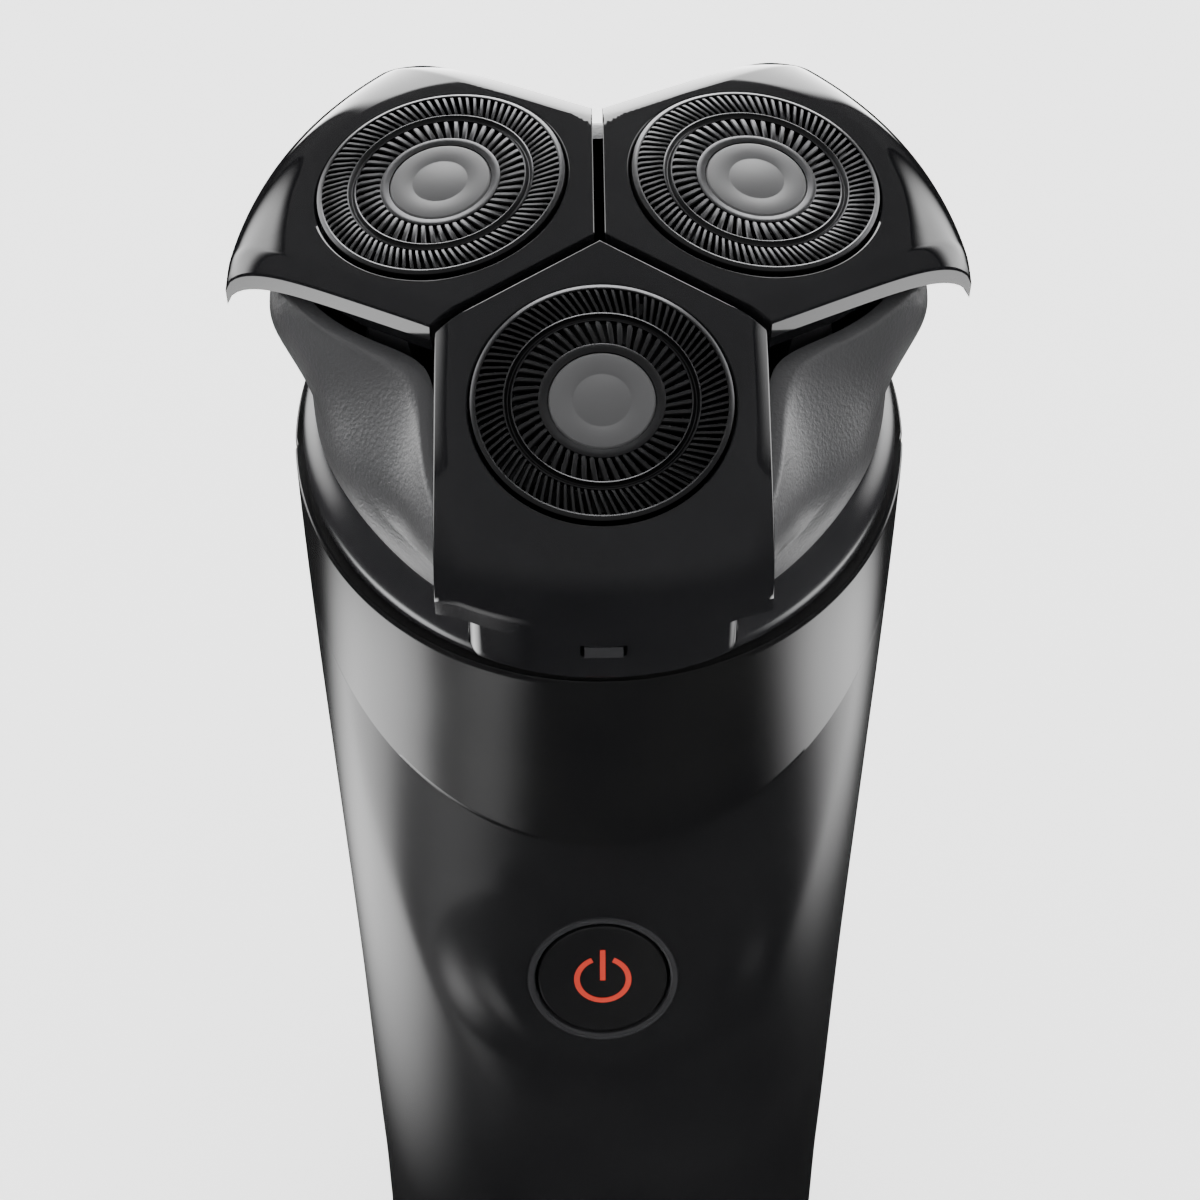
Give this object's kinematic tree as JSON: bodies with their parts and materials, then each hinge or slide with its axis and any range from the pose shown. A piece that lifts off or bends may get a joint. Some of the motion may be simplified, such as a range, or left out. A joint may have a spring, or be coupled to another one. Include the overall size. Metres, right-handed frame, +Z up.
{
  "type": "electric shaver",
  "caption": "Cordless rotary shaver: flexing petals with round slotted guards on an opening hair chamber, upright handle with power button and flip-out trimmer.",
  "frame": {"origin": "centre of the handle's base, on the surface it stands on", "axes": "+Z up the handle, -Y the front with the power button, +X to the right of a person looking at the front"},
  "size_m": [0.0642, 0.0673, 0.1612],
  "materials": {
    "gloss_black": "high gloss",
    "gloss_shield": "high gloss",
    "collar_black": "gloss",
    "steel_pin": "ground",
    "dark_inner": "matte",
    "motor_steel": "satin",
    "bezel_gray": "satin",
    "lamp_clear": "translucent",
    "base_black": "satin",
    "socket_black": "matte",
    "contact_brass": "polished",
    "inner_gray": "matte",
    "cell_wrap": "shrink wrap",
    "board_green": "solder mask",
    "switch_black": "matte",
    "button_black": "gloss",
    "symbol_orange": "printed",
    "gear_white": "moulded",
    "chamber_satin": "fine grained satin",
    "catch_black": "gloss",
    "blade_steel": "ground",
    "latch_gray": "satin",
    "spindle_black": "matte",
    "petal_gloss": "high gloss",
    "guard_dark_steel": "dark coated",
    "cap_gray": "fine matte",
    "retainer_gray": "matte"
  },
  "bodies": {
    "handle": {"front_housing": "gloss_black", "rear_housing": "gloss_black", "front_shield": "gloss_shield", "neck_collar": "collar_black", "unit_hinge_pin": "steel_pin", "drive_deck": "dark_inner", "motor_plate": "dark_inner", "plate_screws": "steel_pin", "motor_can": "motor_steel", "button_bezel": "bezel_gray", "charge_lamp": "lamp_clear", "base_cap": "base_black", "charge_socket": "socket_black", "charge_pins": "contact_brass", "chassis": "inner_gray", "battery_cell": "cell_wrap", "circuit_board": "board_green", "power_switch": "switch_black", "trimmer_pin": "steel_pin"},
    "power_button": {"power_button": "button_black", "power_symbol": "symbol_orange"},
    "motor_rotor": {"motor_shaft": "steel_pin", "drive_pinion": "gear_white"},
    "shaving_unit": {"hair_chamber": "chamber_satin", "petal_carrier": "dark_inner", "petal_pins": "steel_pin"},
    "unit_catch": {"unit_catch": "catch_black"},
    "trimmer": {"trimmer_arm": "gloss_black", "trimmer_comb": "blade_steel"},
    "trimmer_blade": {"trimmer_blade": "blade_steel"},
    "trimmer_latch": {"trimmer_latch": "latch_gray"},
    "gear_front": {"drive_gear_front": "gear_white"},
    "spindle_front": {"drive_spindle_front": "spindle_black"},
    "petal_front": {"petal_front": "petal_gloss", "guard_front": "guard_dark_steel", "cap_front": "cap_gray", "cutter_retainer_front": "retainer_gray"},
    "cutter_front": {"cutter_front": "blade_steel"},
    "gear_left": {"drive_gear_left": "gear_white"},
    "spindle_left": {"drive_spindle_left": "spindle_black"},
    "petal_left": {"petal_left": "petal_gloss", "guard_left": "guard_dark_steel", "cap_left": "cap_gray", "cutter_retainer_left": "retainer_gray"},
    "cutter_left": {"cutter_left": "blade_steel"},
    "gear_right": {"drive_gear_right": "gear_white"},
    "spindle_right": {"drive_spindle_right": "spindle_black"},
    "petal_right": {"petal_right": "petal_gloss", "guard_right": "guard_dark_steel", "cap_right": "cap_gray", "cutter_retainer_right": "retainer_gray"},
    "cutter_right": {"cutter_right": "blade_steel"}
  },
  "joints": [
    {"name": "power_press", "type": "slide", "parent": "handle", "child": "power_button", "axis": [0, 0.9816, -0.1908], "range_m": [0, 0.0006], "stiffness_N_per_m": 2500, "springref_m": -0.0004},
    {"name": "motor_spin", "type": "hinge", "parent": "handle", "child": "motor_rotor", "pos_m": [0, 0.00382, 0.12924], "axis": [0, -0.284, 0.9588], "continuous": true},
    {"name": "unit_open", "type": "hinge", "parent": "handle", "child": "shaving_unit", "pos_m": [0, 0.02968, 0.14263], "axis": [-1, 0, 0], "range_deg": [0, 85]},
    {"name": "catch_press", "type": "slide", "parent": "shaving_unit", "child": "unit_catch", "axis": [0, 0.9588, 0.284], "range_m": [0, 0.0008], "stiffness_N_per_m": 1500, "springref_m": -0.0004},
    {"name": "trimmer_open", "type": "hinge", "parent": "handle", "child": "trimmer", "pos_m": [0, 0.01991, 0.10208], "axis": [-1, 0, 0], "range_deg": [0, 70]},
    {"name": "blade_stroke", "type": "slide", "parent": "trimmer", "child": "trimmer_blade", "axis": [1, 0, 0], "range_m": [-0.0008, 0.0008]},
    {"name": "latch_slide", "type": "slide", "parent": "handle", "child": "trimmer_latch", "axis": [0, 0.0958, 0.9954], "range_m": [0, 0.004]},
    {"name": "gear_spin_front", "type": "hinge", "parent": "handle", "child": "gear_front", "pos_m": [0, -0.00986, 0.12518], "axis": [0, -0.284, 0.9588], "continuous": true},
    {"name": "spindle_press_front", "type": "slide", "parent": "gear_front", "child": "spindle_front", "axis": [0, 0.284, -0.9588], "range_m": [0, 0.0015], "stiffness_N_per_m": 300, "springref_m": -0.001},
    {"name": "petal_tilt_front", "type": "hinge", "parent": "shaving_unit", "child": "petal_front", "pos_m": [0, -0.0141, 0.14396], "axis": [1, 0, 0], "range_deg": [-2, 5], "stiffness_Nm_per_rad": 0.15},
    {"name": "cutter_spin_front", "type": "hinge", "parent": "petal_front", "child": "cutter_front", "pos_m": [0, -0.01714, 0.14793], "axis": [0, -0.4384, 0.8988], "continuous": true},
    {"name": "gear_spin_left", "type": "hinge", "parent": "handle", "child": "gear_left", "pos_m": [-0.01235, 0.01066, 0.13126], "axis": [0, -0.284, 0.9588], "continuous": true},
    {"name": "spindle_press_left", "type": "slide", "parent": "gear_left", "child": "spindle_left", "axis": [0, 0.284, -0.9588], "range_m": [0, 0.0015], "stiffness_N_per_m": 300, "springref_m": -0.001},
    {"name": "petal_tilt_left", "type": "hinge", "parent": "shaving_unit", "child": "petal_left", "pos_m": [-0.01126, 0.0046, 0.1495], "axis": [-0.5, -0.8304, -0.246], "range_deg": [-2, 5], "stiffness_Nm_per_rad": 0.15},
    {"name": "cutter_spin_left", "type": "hinge", "parent": "petal_left", "child": "cutter_left", "pos_m": [-0.01281, 0.00413, 0.15423], "axis": [-0.1429, -0.201, 0.9691], "continuous": true},
    {"name": "gear_spin_right", "type": "hinge", "parent": "handle", "child": "gear_right", "pos_m": [0.01235, 0.01066, 0.13126], "axis": [0, -0.284, 0.9588], "continuous": true},
    {"name": "spindle_press_right", "type": "slide", "parent": "gear_right", "child": "spindle_right", "axis": [0, 0.284, -0.9588], "range_m": [0, 0.0015], "stiffness_N_per_m": 300, "springref_m": -0.001},
    {"name": "petal_tilt_right", "type": "hinge", "parent": "shaving_unit", "child": "petal_right", "pos_m": [0.01126, 0.0046, 0.1495], "axis": [-0.5, 0.8304, 0.246], "range_deg": [-2, 5], "stiffness_Nm_per_rad": 0.15},
    {"name": "cutter_spin_right", "type": "hinge", "parent": "petal_right", "child": "cutter_right", "pos_m": [0.01281, 0.00413, 0.15423], "axis": [0.1429, -0.201, 0.9691], "continuous": true}
  ],
  "couplings": [
    {"joint": "gear_spin_front", "follows": "motor_spin", "ratio": -0.75},
    {"joint": "cutter_spin_front", "follows": "motor_spin", "ratio": -0.75},
    {"joint": "gear_spin_left", "follows": "motor_spin", "ratio": -0.75},
    {"joint": "cutter_spin_left", "follows": "motor_spin", "ratio": -0.75},
    {"joint": "gear_spin_right", "follows": "motor_spin", "ratio": -0.75},
    {"joint": "cutter_spin_right", "follows": "motor_spin", "ratio": -0.75}
  ]
}
